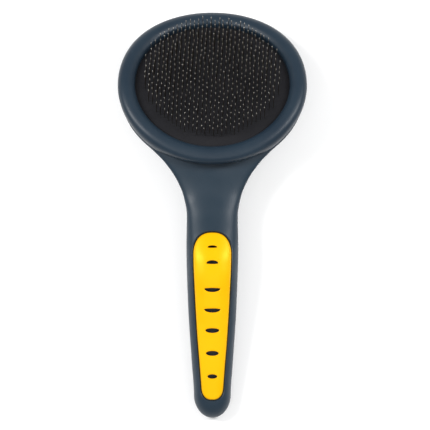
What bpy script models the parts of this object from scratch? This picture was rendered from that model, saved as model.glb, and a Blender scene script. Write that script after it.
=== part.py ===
"""A pet slicker brush: a wide oval head full of bent wire pins on a cushioned pad, set back at an
angle on a soft handle that has a slotted yellow thumb grip.

Lengths are metres. The brush lies on its back with its pins up: +Y runs from the handle's end to
the head's tip, +X runs across, and z = 0 is the surface that the brush lies on.

Two flat drawings are bent into that place. A handle place is (x, u, n): u runs along the handle
from its end, and n is the height over the handle's flat front. A head place is (x, s, h): s runs
along the curved face from the head's centre to its tip, and h is the height over that face.
"""
from bisect import bisect_right
from math import asin, cos, pi, radians, sin, sqrt

import bmesh
import bpy

# Head
HEAD_HALF_WIDTH = 0.050
HEAD_TIP_REACH = 0.050          # along the face, from the head's centre to its tip
HEAD_NECK_REACH = 0.0445        # along the face, from the head's centre towards the handle
HEAD_TILT = radians(29)         # the head's centre leans back this far from the handle's front
BEND_RADIUS = 0.130             # the face is bent round an axis across the brush
HEAD_CENTRE_U = 0.1754
HEAD_CENTRE_N = -0.0186
OVAL_SIDES = 48
LAYER_RINGS = (0.36, 0.7, 1.0)  # rings of one face of a layer, as shares of its outline

# Soft rim round the head
RIM_WIDTH = 0.0091
RIM_CREST = 0.0037
RIM_LIP = 0.0010
RIM_FOOT = -0.0040
RABBET_TOP = -0.0012            # underside of the lip that holds the pad's edge
RABBET_INSET = 0.0072

# Layers in the head, top and bottom of each
GAP = 0.0003                    # clearance where two pieces meet
SEAM_GAP = 0.0005               # clearance between the two covers
FOUNDATION_TOP = RABBET_TOP - GAP
FOUNDATION_THICK = 0.0013
FOAM_THICK = 0.0028
PLATE_THICK = 0.0015
DISH_FLOOR_THICK = 0.0014
DISH_INSET = 0.0050
DISH_BOTTOM_INSET = 0.0100
DISH_CORNER = -0.0062

# Pins
COLUMNS = 33
COLUMN_SPACING = 0.0022
PIN_PITCH = 0.0030              # along one column; alternate columns are half a pitch apart
PIN_WIRE = 0.0005
CROWN_DEPTH = 0.00045
FIELD_HALF_WIDTH = 0.0363
FIELD_HALF_LENGTH = 0.0326
FIELD_CENTRE = 0.0026
FIELD_TURN = radians(-3)        # the pins' columns stand slightly askew on the head
KNEE_HEIGHT = 0.0058
KNEE_LEAN = 0.0010
TIP_HEIGHT = 0.0130
TIP_LEAN = -0.0004

# Handle and covers
WALL = 0.0024
SECTION_POWER = 2.4             # roundness of the handle's and the shell's sections
SECTION_STEPS = 10
SEAM_TURN = 0.05                # a section leaves the seam upright over this first bit of its arc
END_ROUND = 0.012
COVER_INSET = 0.0008            # the rim stands this far outside the rear cover
COVER_EDGE = RIM_FOOT - SEAM_GAP
SHELL_DEPTH = 0.0150
FLARE_END_S = -0.027            # the neck's flare has run into the head's oval here
LID_END_U = 0.144
ROOM_START = 0.006              # the room for the spine, between the covers
ROOM_END = 0.105
ROOM_SHIFT = 0.0012             # the room's sections fall between the front cover's
REST_ANGLE = radians(11.1)
FLOOR_LIFT = 0.0141
HANDLE_START = 0.020            # even sections along the grip, then closer ones at the flare
HANDLE_STEP = 0.0085
HANDLE_SECTIONS = 10
NECK_PLACES = (0.1045, 0.112, 0.1185, 0.1245, 0.130, 0.135, 0.1396, 0.1446)
FLATTEST = 0.98                 # share of the half width past which the front is taken as level
DISH_CUT = (-0.030, 0.010)      # heights between which the lid is cleared from the dish
TABLE_SIZE = (0.2, 0.4, 0.04)   # block that the back is cut flat on, with its top at z = 0

# Half width of the body, and its front, its seam and the depth under the seam, along the handle
HALF_WIDTHS = [(0.0, 0.0096), (0.012, 0.0097), (0.030, 0.0109), (0.060, 0.0128), (0.090, 0.01365),
               (0.1065, 0.01345), (0.116, 0.0150), (0.125, 0.0186), (0.1345, 0.0250),
               (0.141, 0.0312), (0.147, 0.0377), (0.1535, 0.0429), (0.160, 0.0462),
               (0.1665, 0.0481), (0.1733, 0.0492)]
FRONTS = [(0.0, -0.0006), (0.020, 0.0), (0.048, 0.0001), (0.062, 0.0011), (0.075, 0.0026),
          (0.082, 0.0022), (0.095, -0.0014), (0.108, -0.0058), (0.120, -0.0090),
          (0.134, -0.0099), (0.144, -0.0112)]
SEAMS = [(0.0, -0.0090), (0.088, -0.0090), (0.112, -0.0122), (0.124, -0.0125), (0.134, -0.0119),
         (0.142, -0.0115), (0.1494, -0.0122)]
DEPTHS = [(0.0, 0.0084), (0.030, 0.0092), (0.062, 0.0104), (0.088, 0.0110), (0.112, 0.0106),
          (0.124, 0.0114), (0.134, 0.0127), (0.142, 0.0139), (0.1494, 0.0147),
          (0.165, SHELL_DEPTH)]
TILTS = [(0.096, 0.0), (0.134, radians(9.6)), (0.1494, radians(17.1))]

# Rigid spine inside the handle: place along it, its middle height, half width and half height
SPINE = [(0.014, -0.0103, 0.0042, 0.0028), (0.045, -0.0103, 0.0060, 0.0030),
         (0.088, -0.0107, 0.0075, 0.0030), (0.104, -0.0148, 0.0080, 0.0026),
         (0.116, -0.0166, 0.0085, 0.0024), (0.128, -0.0171, 0.0105, 0.0024),
         (0.142, -0.0170, 0.0140, 0.0024), (0.156, -0.0204, 0.0150, 0.0022)]
SPINE_SECTIONS = 16

# Thumb grip
GRIP_TOP = 0.0975
GRIP_BOTTOM = 0.0096
GRIP_TOP_ROUND = 0.0125         # length of the rounded top, and of the rounded bottom
GRIP_BOTTOM_ROUND = 0.0060
GRIP_WIDTHS = [(0.009, 0.0052), (0.0167, 0.00578), (0.0295, 0.00678), (0.0420, 0.0078),
               (0.0545, 0.0086), (0.0670, 0.00924), (0.0800, 0.00984), (0.0900, 0.0100),
               (0.0980, 0.0100)]
GRIP_PROUD = 0.0004
GRIP_THICK = 0.0020
GRIP_EDGE = 0.0005
RECESS_MARGIN = 0.00035
GRIP_BACKING = 0.0022           # cover left behind the grip's recess

# Slots in the grip: place along the handle, half width, bulge up, bulge down
SLOTS = [(0.0219, 0.0025, 0.0011, 0.0011), (0.0341, 0.0033, 0.0012, 0.0013),
         (0.0462, 0.0036, 0.0010, 0.0014), (0.0572, 0.0042, 0.0004, 0.0017),
         (0.0680, 0.0041, 0.0004, 0.0017), (0.0814, 0.0031, 0.0015, 0.0004),
         (0.0898, 0.0025, 0.0009, 0.0003)]
SLOT_STEPS = 6
SLOT_CUT = (-0.008, 0.008)      # handle heights that the slots' cutters span

BODY_BLUE = (0.036, 0.054, 0.076, 1.0)
RIM_BLUE = (0.030, 0.046, 0.068, 1.0)
GRIP_YELLOW = (0.95, 0.62, 0.006, 1.0)
PAD_CHARCOAL = (0.021, 0.021, 0.024, 1.0)
PLASTIC_BLACK = (0.012, 0.012, 0.014, 1.0)
FOAM_GREY = (0.10, 0.10, 0.11, 1.0)
WIRE_STEEL = (0.55, 0.55, 0.57, 1.0)


def clear_scene():
    for thing in list(bpy.data.objects):
        bpy.data.objects.remove(thing, do_unlink=True)


def new_collection(name):
    group = bpy.data.collections.new(name)
    bpy.context.scene.collection.children.link(group)
    return group


def along(stations, place, column=1):
    """Value at one place on the smooth line through stations, without overshoot."""
    places = [station[0] for station in stations]
    values = [station[column] for station in stations]
    if place <= places[0]:
        return values[0]
    if place >= places[-1]:
        return values[-1]
    steps = [(values[i + 1] - values[i]) / (places[i + 1] - places[i])
             for i in range(len(places) - 1)]
    slopes = [0.0]
    for before, after in zip(steps, steps[1:]):
        turning = before * after <= 0
        slopes.append(0.0 if turning else 2 * before * after / (before + after))
    slopes.append(steps[-1])
    i = bisect_right(places, place) - 1
    span = places[i + 1] - places[i]
    t = (place - places[i]) / span
    start = (1 + 2 * t) * (1 - t) ** 2 * values[i] + t * (1 - t) ** 2 * span * slopes[i]
    end = t * t * (3 - 2 * t) * values[i + 1] - t * t * (1 - t) * span * slopes[i + 1]
    return start + end


def handle_point(x, u, n):
    """World place of a handle place."""
    y = u * cos(REST_ANGLE) - n * sin(REST_ANGLE)
    z = u * sin(REST_ANGLE) + n * cos(REST_ANGLE) + FLOOR_LIFT
    return (x, y, z)


def head_section(s, h):
    """Handle place (u, n) and lean of the head's place (s, h)."""
    lean = HEAD_TILT + s / BEND_RADIUS
    reach = BEND_RADIUS + h
    u = HEAD_CENTRE_U + reach * sin(lean) - BEND_RADIUS * sin(HEAD_TILT)
    n = HEAD_CENTRE_N + reach * cos(lean) - BEND_RADIUS * cos(HEAD_TILT)
    return u, n, lean


def head_point(x, s, h):
    """World place of a head place."""
    u, n, _ = head_section(s, h)
    return handle_point(x, u, n)


def oval(inset, h, scale=1.0):
    """One ring of the head's outline, drawn in by inset, at height h."""
    ring = []
    for i in range(OVAL_SIDES):
        angle = 2 * pi * i / OVAL_SIDES
        reach = HEAD_TIP_REACH if sin(angle) > 0 else HEAD_NECK_REACH
        x = scale * (HEAD_HALF_WIDTH - inset) * cos(angle)
        s = scale * (reach - inset) * sin(angle)
        ring.append(head_point(x, s, h))
    return ring


def disc_rows(inset, top, bottom):
    """Rings of a thin oval layer, from the middle of its top to the middle of its bottom."""
    middle_top = [head_point(0, 0, top)]
    middle_bottom = [head_point(0, 0, bottom)]
    upper = [oval(inset, top, share) for share in LAYER_RINGS]
    lower = [oval(inset, bottom, share) for share in reversed(LAYER_RINGS)]
    return [middle_top, *upper, *lower, middle_bottom]


def net(rows, ring=True, wrap=False):
    """Points and faces of a net over rows of points. A row of one point is a pole."""
    points = []
    index = []
    for row in rows:
        index.append(list(range(len(points), len(points) + len(row))))
        points.extend(row)
    if wrap:
        index.append(index[0])
    faces = []
    for lower, upper in zip(index, index[1:]):
        count = max(len(lower), len(upper))
        for i in range(count if ring else count - 1):
            j = (i + 1) % count
            corners = [lower[i % len(lower)], lower[j % len(lower)],
                       upper[j % len(upper)], upper[i % len(upper)]]
            faces.append(list(dict.fromkeys(corners)))
    return points, faces


def finish(name):
    """Plain material values of one piece: colour, roughness and metallic."""
    looks = {"thumb_grip": (GRIP_YELLOW, 0.42, 0.0), "head_rim": (RIM_BLUE, 0.45, 0.0),
             "pin_foundation": (PAD_CHARCOAL, 0.75, 0.0), "pad_foam": (FOAM_GREY, 0.95, 0.0),
             "pad_plate": (PLASTIC_BLACK, 0.5, 0.0), "core_frame": (PLASTIC_BLACK, 0.5, 0.0),
             "pin_column": (WIRE_STEEL, 0.3, 1.0)}
    for start, look in looks.items():
        if name.startswith(start):
            return look
    return (BODY_BLUE, 0.5, 0.0)


def add_piece(name, points, faces, group, cutter=False):
    """One closed piece, or the open sheet of a shell, with its faces pointing out."""
    mesh = bpy.data.meshes.new(name)
    mesh.from_pydata(points, [], faces)
    work = bmesh.new()
    work.from_mesh(mesh)
    bmesh.ops.recalc_face_normals(work, faces=work.faces)
    work.to_mesh(mesh)
    work.free()
    piece = bpy.data.objects.new(name, mesh)
    group.objects.link(piece)
    if cutter:
        piece.hide_render = True
        piece.display_type = "WIRE"
        return piece
    colour, roughness, metallic = finish(name)
    material = bpy.data.materials.new(name)
    material.use_nodes = True
    shader = material.node_tree.nodes["Principled BSDF"]
    shader.inputs["Base Color"].default_value = colour
    shader.inputs["Roughness"].default_value = roughness
    shader.inputs["Metallic"].default_value = metallic
    mesh.materials.append(material)
    mesh.shade_smooth()
    mesh.set_sharp_from_angle(angle=radians(35))
    return piece


def cut(piece, cutter, operation="DIFFERENCE"):
    change = piece.modifiers.new(cutter.name, "BOOLEAN")
    change.operation = operation
    change.object = cutter
    change.solver = "EXACT"


def end_rounding(u):
    """How full the rounded end of the handle is at u: 0 at its very end, 1 past the rounding."""
    if u >= END_ROUND:
        return 1.0
    return sqrt(1 - ((END_ROUND - u) / END_ROUND) ** 2)


def arch(t, half_width, height):
    """One point of a half section: t runs from 0 to pi across it."""
    power = 2 / SECTION_POWER
    side = abs(cos(t)) ** power * (1 if t < pi / 2 else -1)
    return half_width * side, height * max(sin(t), 0.0) ** power


def handle_stations():
    """Places along the handle and the neck: close together at the rounded end and the flare."""
    end = [END_ROUND * (1 - cos(pi / 2 * i / 6)) for i in range(1, 7)]
    grip = [HANDLE_START + HANDLE_STEP * i for i in range(HANDLE_SECTIONS)]
    return end + grip + list(NECK_PLACES)


def section(half_width, height, u, n, lean, side):
    """One half section across the body, over the seam (side 1) or under it (side -1)."""
    row = []
    inner = [pi * i / SECTION_STEPS for i in range(1, SECTION_STEPS)]
    for t in [0.0, SEAM_TURN, *inner, pi - SEAM_TURN, pi]:
        x, rise = arch(t, half_width, height)
        row.append(handle_point(x, u + side * rise * sin(lean), n + side * rise * cos(lean)))
    return row


def handle_section(u, side, inset=0.0, lower=0.0, lift=0.0):
    """Half section of the handle or the neck, drawn in by inset at its sides."""
    full = end_rounding(u)
    seam = along(SEAMS, u)
    height = along(DEPTHS, u) if side < 0 else along(FRONTS, u) - seam
    half_width = along(HALF_WIDTHS, u) * full - inset
    return section(half_width, height * full - lower, u, seam + lift, along(TILTS, u), side)


def shell_section(s):
    """Half section of the rear cover under the head."""
    reach = HEAD_TIP_REACH - COVER_INSET
    u, n, lean = head_section(s, COVER_EDGE)
    if s > 0:
        half_width = (HEAD_HALF_WIDTH - COVER_INSET) * sqrt(1 - (s / reach) ** 2)
        depth = SHELL_DEPTH * (1 - (s / reach) ** SECTION_POWER) ** (1 / SECTION_POWER)
    else:
        half_width = along(HALF_WIDTHS, u)
        depth = along(DEPTHS, u)
    return section(half_width, depth, u, n, lean, -1)


def make_rear_cover(parts, cutters):
    """Back shell of the handle, the neck and the head, flattened where it lies on a table."""
    rows = [[handle_point(0, 0, along(SEAMS, 0))]]
    rows += [handle_section(u, -1) for u in handle_stations()]
    rows += [shell_section(FLARE_END_S * (1 - i / 4)) for i in range(5)]
    reach = HEAD_TIP_REACH - COVER_INSET
    rows += [shell_section(reach * sin(pi / 2 * i / 9)) for i in range(1, 9)]
    rows.append([head_point(0, reach, COVER_EDGE)])
    points, faces = net(rows, ring=False)
    cover = add_piece("rear_cover", points, faces, parts)
    shell = cover.modifiers.new("wall", "SOLIDIFY")
    shell.thickness = WALL
    shell.offset = -1 if cover.data.polygons[0].normal.z < 0 else 1
    shell.use_even_offset = False
    bpy.ops.mesh.primitive_cube_add(size=1, location=(0, 0.11, -TABLE_SIZE[2] / 2))
    table = bpy.context.active_object
    table.name = "table_cut"
    table.scale = TABLE_SIZE
    table.hide_render = True
    table.display_type = "WIRE"
    for group in list(table.users_collection):
        group.objects.unlink(table)
    cutters.objects.link(table)
    cut(cover, table)


def grip_half_width(u, margin=0.0):
    """Half width of the grip's outline: tapering sides between two rounded ends."""
    into_top = (u - GRIP_TOP - margin + GRIP_TOP_ROUND) / GRIP_TOP_ROUND
    into_bottom = (GRIP_BOTTOM - margin + GRIP_BOTTOM_ROUND - u) / GRIP_BOTTOM_ROUND
    into_end = min(max(into_top, into_bottom, 0.0), 1.0)
    fullness = (1 - into_end ** SECTION_POWER) ** (1 / SECTION_POWER)
    return (along(GRIP_WIDTHS, u) + margin) * fullness


def front_height(x, u):
    """Height of the front cover's outside at (x, u)."""
    seam = along(SEAMS, u)
    rise = (along(FRONTS, u) - seam) * end_rounding(u)
    across = min(abs(x) / (along(HALF_WIDTHS, u) * end_rounding(u)), FLATTEST)
    return seam + rise * (1 - across ** SECTION_POWER) ** (1 / SECTION_POWER)


def grip_slab_rows(margin, below, above):
    """Rings across a slab that follows the handle's front, from the grip's bottom to its top."""
    low = GRIP_BOTTOM - margin
    high = GRIP_TOP + margin
    turn = [low + GRIP_BOTTOM_ROUND * (1 - cos(pi / 2 * i / 4)) for i in range(1, 5)]
    run = high - GRIP_TOP_ROUND - turn[-1]
    sides = [turn[-1] + run * i / 9 for i in range(1, 9)]
    crown = [high - GRIP_TOP_ROUND * (1 - sin(pi / 2 * i / 6)) for i in range(6)]
    rows = [[handle_point(0, low, front_height(0, low) - below / 2)]]
    for u in turn + sides + crown:
        half = grip_half_width(u, margin)
        rim = min(GRIP_EDGE, half / 3)
        across = [-half + rim + (2 * half - 2 * rim) * i / 6 for i in range(7)]
        ring = [handle_point(-half, u, front_height(half, u) - below)]
        ring.append(handle_point(-half, u, front_height(half, u) + above - rim))
        ring += [handle_point(x, u, front_height(x, u) + above) for x in across]
        ring.append(handle_point(half, u, front_height(half, u) + above - rim))
        ring.append(handle_point(half, u, front_height(half, u) - below))
        ring += [handle_point(x, u, front_height(x, u) - below) for x in reversed(across)]
        rows.append(ring)
    rows.append([handle_point(0, high, front_height(0, high) - below / 2)])
    return rows


def make_front_cover(parts, cutters):
    """Lid over the handle and the neck, with the grip's recess and room for the spine."""
    rows = [[handle_point(0, 0, along(SEAMS, 0) + SEAM_GAP)]]
    rows += [handle_section(u, 1, lift=SEAM_GAP) for u in handle_stations() if u < LID_END_U]
    rows.append(handle_section(LID_END_U, 1, lift=SEAM_GAP))
    points, faces = net(rows)
    faces.append(list(range(len(points) - len(rows[-1]), len(points))))
    cover = add_piece("front_cover", points, faces, parts)

    inside = [u + ROOM_SHIFT for u in handle_stations() if ROOM_START < u < ROOM_END]
    lowered = GRIP_THICK - GRIP_PROUD + GAP + GRIP_BACKING - WALL
    rows = [handle_section(u, 1, WALL, lowered, -WALL) for u in inside]
    points, faces = net(rows)
    faces.append(list(range(len(rows[0]))))
    faces.append(list(range(len(points) - len(rows[-1]), len(points))))
    cut(cover, add_piece("handle_room", points, faces, cutters, cutter=True))

    rows = grip_slab_rows(RECESS_MARGIN, GRIP_THICK - GRIP_PROUD + GAP, 0.004)
    points, faces = net(rows)
    cut(cover, add_piece("grip_recess", points, faces, cutters, cutter=True))

    rows = [oval(DISH_INSET - GAP, height) for height in DISH_CUT]
    points, faces = net(rows)
    faces.append(list(range(OVAL_SIDES)))
    faces.append(list(range(OVAL_SIDES, 2 * OVAL_SIDES)))
    cut(cover, add_piece("dish_room", points, faces, cutters, cutter=True))


def slot_outline(u, half_width, up, down):
    """Outline of one slot: two shallow arcs that meet at its left and right ends."""
    outline = []
    for i in range(2 * SLOT_STEPS):
        angle = pi * i / SLOT_STEPS
        bulge = up if angle < pi else down
        outline.append((half_width * cos(angle), u + bulge * sin(angle)))
    return outline


def make_thumb_grip(parts, cutters):
    """Yellow inlay on the handle's front, with seven slots through it."""
    rows = grip_slab_rows(0.0, GRIP_THICK - GRIP_PROUD, GRIP_PROUD)
    points, faces = net(rows)
    grip = add_piece("thumb_grip", points, faces, parts)
    for number, (u, half_width, up, down) in enumerate(SLOTS, start=1):
        outline = slot_outline(u, half_width, up, down)
        rows = [[handle_point(x, place, height) for x, place in outline]
                for height in SLOT_CUT]
        points, faces = net(rows)
        faces.append(list(range(len(outline))))
        faces.append(list(range(len(outline), 2 * len(outline))))
        cut(grip, add_piece(f"slot_{number}", points, faces, cutters, cutter=True))


def make_head_rim(parts):
    """Soft ring round the head: rounded crest, and a lip that holds the pad's edge down."""
    profile = [(0.0, 0.0), (0.0005, 0.0018), (0.0021, 0.0032), (0.0044, RIM_CREST),
               (0.0066, 0.0033), (0.0083, 0.0022), (RIM_WIDTH, RIM_LIP),
               (RIM_WIDTH, RABBET_TOP), (RABBET_INSET, RABBET_TOP), (RABBET_INSET, RIM_FOOT),
               (0.0014, RIM_FOOT), (0.0004, -0.0022)]
    points, faces = net([oval(inset, h) for inset, h in profile], wrap=True)
    add_piece("head_rim", points, faces, parts)


def make_pad(parts):
    """Layers of the pad: the sheet that the pins stand in, its foam and its backing plate."""
    inset = RABBET_INSET + GAP
    top = FOUNDATION_TOP
    for name, thick in (("pin_foundation", FOUNDATION_THICK), ("pad_foam", FOAM_THICK),
                        ("pad_plate", PLATE_THICK)):
        points, faces = net(disc_rows(inset, top, top - thick))
        add_piece(name, points, faces, parts)
        top -= thick + GAP
    return top


def make_core_frame(parts, cutters, floor):
    """Rigid frame: the dish that carries the pad, and the spine that fills the handle."""
    edge = COVER_EDGE
    bottom = floor - DISH_FLOOR_THICK
    rows = [[head_point(0, 0, floor)]]
    rows += [oval(RABBET_INSET, floor, share) for share in LAYER_RINGS]
    rows += [oval(RABBET_INSET, edge), oval(DISH_INSET, edge), oval(DISH_INSET, DISH_CORNER)]
    rows += [oval(DISH_BOTTOM_INSET, bottom, share) for share in reversed(LAYER_RINGS)]
    rows.append([head_point(0, 0, bottom)])
    points, faces = net(rows)
    frame = add_piece("core_frame", points, faces, parts)

    first = SPINE[0][0]
    last = SPINE[-1][0]
    rows = []
    for i in range(SPINE_SECTIONS + 1):
        u = first + (last - first) * i / SPINE_SECTIONS
        middle = along(SPINE, u, 1)
        half_width = along(SPINE, u, 2)
        half_height = along(SPINE, u, 3)
        corners = ((-1, -1), (-1, 1), (1, 1), (1, -1))
        rows.append([handle_point(a * half_width, u, middle + b * half_height)
                     for a, b in corners])
    points, faces = net(rows)
    faces.append([0, 1, 2, 3])
    faces.append(list(range(len(points) - 4, len(points))))
    cut(frame, add_piece("spine", points, faces, cutters, cutter=True), "UNION")


def pin_places(column):
    """Places along one column of pins, inside the oval field."""
    across = (column - (COLUMNS - 1) / 2) * COLUMN_SPACING
    half = FIELD_HALF_LENGTH * sqrt(1 - (across / FIELD_HALF_WIDTH) ** 2)
    shift = 0.5 * PIN_PITCH if column % 2 else 0.0
    reach = int(half // PIN_PITCH) + 1
    places = [i * PIN_PITCH + shift for i in range(-reach, reach + 1)]
    return across, [place for place in places if abs(place) <= half]


def make_pin_column(parts, column):
    """One column of bent pins, held together by the crown wire that lies on the sheet."""
    across, places = pin_places(column)
    half = PIN_WIRE / 2
    crown_top = FOUNDATION_TOP + GAP + CROWN_DEPTH
    points = []

    def put(x, s, h):
        turned_x = x * cos(FIELD_TURN) - s * sin(FIELD_TURN)
        turned_s = x * sin(FIELD_TURN) + s * cos(FIELD_TURN)
        points.append(head_point(turned_x, turned_s + FIELD_CENTRE, h))
        return len(points) - 1

    faces = []
    before = None
    for place in places:
        feet = [put(across - half, place - half, crown_top),
                put(across - half, place + half, crown_top),
                put(across + half, place, crown_top)]
        keel = put(across, place, crown_top - CROWN_DEPTH)
        bend = place + KNEE_LEAN
        knees = [put(across - half, bend - half, KNEE_HEIGHT),
                 put(across - half, bend + half, KNEE_HEIGHT),
                 put(across + half, bend, KNEE_HEIGHT)]
        tip = put(across, place + TIP_LEAN, TIP_HEIGHT)
        for i in range(3):
            j = (i + 1) % 3
            faces.append([feet[i], feet[j], knees[j], knees[i]])
            faces.append([knees[i], knees[j], tip])
        if before is None:
            faces.append([feet[0], feet[2], keel])
        else:
            last_feet, last_keel = before
            faces.append([last_feet[1], feet[0], feet[2], last_feet[2]])
            faces.append([last_feet[0], last_feet[1], feet[0], keel, last_keel])
            faces.append([last_feet[2], feet[2], keel, last_keel])
        before = (feet, keel)
    feet, keel = before
    faces.append([feet[0], feet[1], keel])
    faces.append([feet[1], feet[2], keel])
    add_piece(f"pin_column_{column + 1:02d}", points, faces, parts)


def centre_on_length(parts):
    """Parent every piece to an empty that sets the middle of the brush's length at y = 0."""
    bpy.context.view_layer.update()
    rows = [corner for piece in parts.objects for corner in piece.bound_box]
    middle = (min(row[1] for row in rows) + max(row[1] for row in rows)) / 2
    stand = bpy.data.objects.new("brush_middle", None)
    stand.location = (0, -middle, 0)
    parts.objects.link(stand)
    for piece in bpy.data.objects:
        if piece is not stand:
            piece.parent = stand


clear_scene()
brush = new_collection("slicker_brush")
tools = new_collection("cutters")
make_rear_cover(brush, tools)
make_front_cover(brush, tools)
make_thumb_grip(brush, tools)
make_head_rim(brush)
dish_floor = make_pad(brush)
make_core_frame(brush, tools, dish_floor)
for number in range(COLUMNS):
    make_pin_column(brush, number)
centre_on_length(brush)
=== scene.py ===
"""The slicker brush's looks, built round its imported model, with a pale floor, lights and a camera.

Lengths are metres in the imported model's frame. A handle place is (x, u, n): u runs along the
handle from its end, and n is the height over its flat front. A head place is (x, s, h): s runs
along the curved face from the head's centre to its tip, and h is the height over that face.
"""
import random
from bisect import bisect_right
from math import asin, cos, exp, pi, radians, sin, sqrt

import bmesh
import bpy
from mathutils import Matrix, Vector


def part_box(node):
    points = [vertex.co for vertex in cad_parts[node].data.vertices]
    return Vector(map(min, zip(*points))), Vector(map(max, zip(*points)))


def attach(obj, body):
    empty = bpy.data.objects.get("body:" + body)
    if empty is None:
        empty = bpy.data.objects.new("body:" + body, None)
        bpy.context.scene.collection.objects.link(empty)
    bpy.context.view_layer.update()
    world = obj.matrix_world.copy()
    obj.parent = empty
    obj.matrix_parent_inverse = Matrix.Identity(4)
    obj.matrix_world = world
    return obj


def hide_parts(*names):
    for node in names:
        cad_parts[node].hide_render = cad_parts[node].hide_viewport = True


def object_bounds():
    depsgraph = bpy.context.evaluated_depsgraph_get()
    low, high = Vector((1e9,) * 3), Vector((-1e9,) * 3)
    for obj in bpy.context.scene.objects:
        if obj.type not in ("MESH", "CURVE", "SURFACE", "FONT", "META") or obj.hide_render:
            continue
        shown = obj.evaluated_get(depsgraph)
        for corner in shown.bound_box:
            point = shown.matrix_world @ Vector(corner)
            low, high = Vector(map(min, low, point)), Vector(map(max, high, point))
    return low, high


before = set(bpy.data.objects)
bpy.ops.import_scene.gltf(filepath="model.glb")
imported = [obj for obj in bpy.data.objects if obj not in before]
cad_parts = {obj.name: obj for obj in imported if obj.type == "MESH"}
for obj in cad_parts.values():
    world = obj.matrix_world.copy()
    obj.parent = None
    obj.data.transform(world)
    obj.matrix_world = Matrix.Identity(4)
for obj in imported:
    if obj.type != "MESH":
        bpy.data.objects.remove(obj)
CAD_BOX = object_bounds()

# The head: an oval on a face that is bent along its length and leans to the handle
HEAD_HALF_WIDTH = 0.050
HEAD_TIP_REACH = 0.050
HEAD_NECK_REACH = 0.0445
HEAD_TILT = radians(29)
BEND_RADIUS = 0.130
HEAD_CENTRE_U = 0.1754
HEAD_CENTRE_N = -0.0186
REST_ANGLE = radians(11.1)
FLOOR_LIFT = 0.0141

# The ring's section, as (inset from the outline, height), and the pad in its rabbet
RIM_WIDTH = 0.0091
RIM_CREST = 0.0037
RIM_LIP = 0.0010
RIM_FOOT = -0.0040
RABBET_TOP = -0.0012
RABBET_INSET = 0.0072
RIM_PROFILE = [(0.0, 0.0), (0.0005, 0.0018), (0.0021, 0.0032), (0.0044, RIM_CREST),
               (0.0066, 0.0033), (0.0083, 0.0022), (RIM_WIDTH, RIM_LIP)]
GAP = 0.0003
SEAM_GAP = 0.0005
FOUNDATION_TOP = RABBET_TOP - GAP
FOUNDATION_THICK = 0.0013
FOAM_THICK = 0.0028
DISH_INSET = 0.0050

# The pins: an oval field of columns, slightly turned, and the bends of one pin
COLUMNS = 33
COLUMN_SPACING = 0.0022
PIN_PITCH = 0.0030
FIELD_HALF_WIDTH = 0.0363
FIELD_HALF_LENGTH = 0.0326
FIELD_CENTRE = 0.0026
FIELD_TURN = radians(-3)
KNEE_HEIGHT = 0.0058
KNEE_LEAN = 0.0010
TIP_HEIGHT = 0.0129
TIP_LEAN = -0.0004

# The covers, with stations (u, value) for the lines along the handle and the neck
WALL = 0.0024
SECTION_POWER = 2.4
END_ROUND = 0.012
COVER_EDGE = RIM_FOOT - SEAM_GAP
SHELL_DEPTH = 0.0150
FLARE_END_S = -0.027
LID_END_U = 0.1485
ROOM_START = 0.0072
ROOM_END = 0.1045
HALF_WIDTHS = [(0.0, 0.0096), (0.012, 0.0097), (0.030, 0.0109), (0.060, 0.0128), (0.090, 0.01365),
               (0.1065, 0.01345), (0.116, 0.0150), (0.125, 0.0186), (0.1345, 0.0250),
               (0.141, 0.0312), (0.147, 0.0377), (0.1535, 0.0429), (0.160, 0.0462),
               (0.1665, 0.0481), (0.1733, 0.0492)]
FRONTS = [(0.0, -0.0006), (0.020, 0.0), (0.048, 0.0001), (0.062, 0.0011), (0.075, 0.0026),
          (0.082, 0.0022), (0.095, -0.0014), (0.108, -0.0058), (0.120, -0.0090),
          (0.134, -0.0099), (0.144, -0.0112), (0.150, -0.0119)]
SEAMS = [(0.0, -0.0090), (0.088, -0.0090), (0.112, -0.0122), (0.124, -0.0125), (0.134, -0.0119),
         (0.142, -0.0115), (0.1494, -0.0122)]
DEPTHS = [(0.0, 0.0084), (0.030, 0.0092), (0.062, 0.0104), (0.088, 0.0110), (0.112, 0.0106),
          (0.124, 0.0114), (0.134, 0.0127), (0.142, 0.0139), (0.1494, 0.0147),
          (0.165, SHELL_DEPTH)]
TILTS = [(0.096, 0.0), (0.134, radians(9.6)), (0.1494, radians(17.1))]

# The grip, and its slots as (u, half width, bulge up, bulge down)
GRIP_TOP = 0.0975
GRIP_BOTTOM = 0.0096
GRIP_TOP_ROUND = 0.0125
GRIP_BOTTOM_ROUND = 0.0060
GRIP_WIDTHS = [(0.009, 0.0052), (0.0167, 0.00578), (0.0295, 0.00678), (0.0420, 0.0078),
               (0.0545, 0.0086), (0.0670, 0.00924), (0.0800, 0.00984), (0.0900, 0.0100),
               (0.0980, 0.0100)]
GRIP_PROUD = 0.0005
GRIP_THICK = 0.0021
RECESS_MARGIN = 0.00035
GRIP_BACKING = 0.0022
SLOTS = [(0.0219, 0.0025, 0.0011, 0.0011), (0.0341, 0.0033, 0.0012, 0.0013),
         (0.0462, 0.0036, 0.0010, 0.0014), (0.0572, 0.0042, 0.0004, 0.0017),
         (0.0680, 0.0041, 0.0004, 0.0017), (0.0814, 0.0031, 0.0015, 0.0004),
         (0.0898, 0.0025, 0.0009, 0.0003)]

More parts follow.
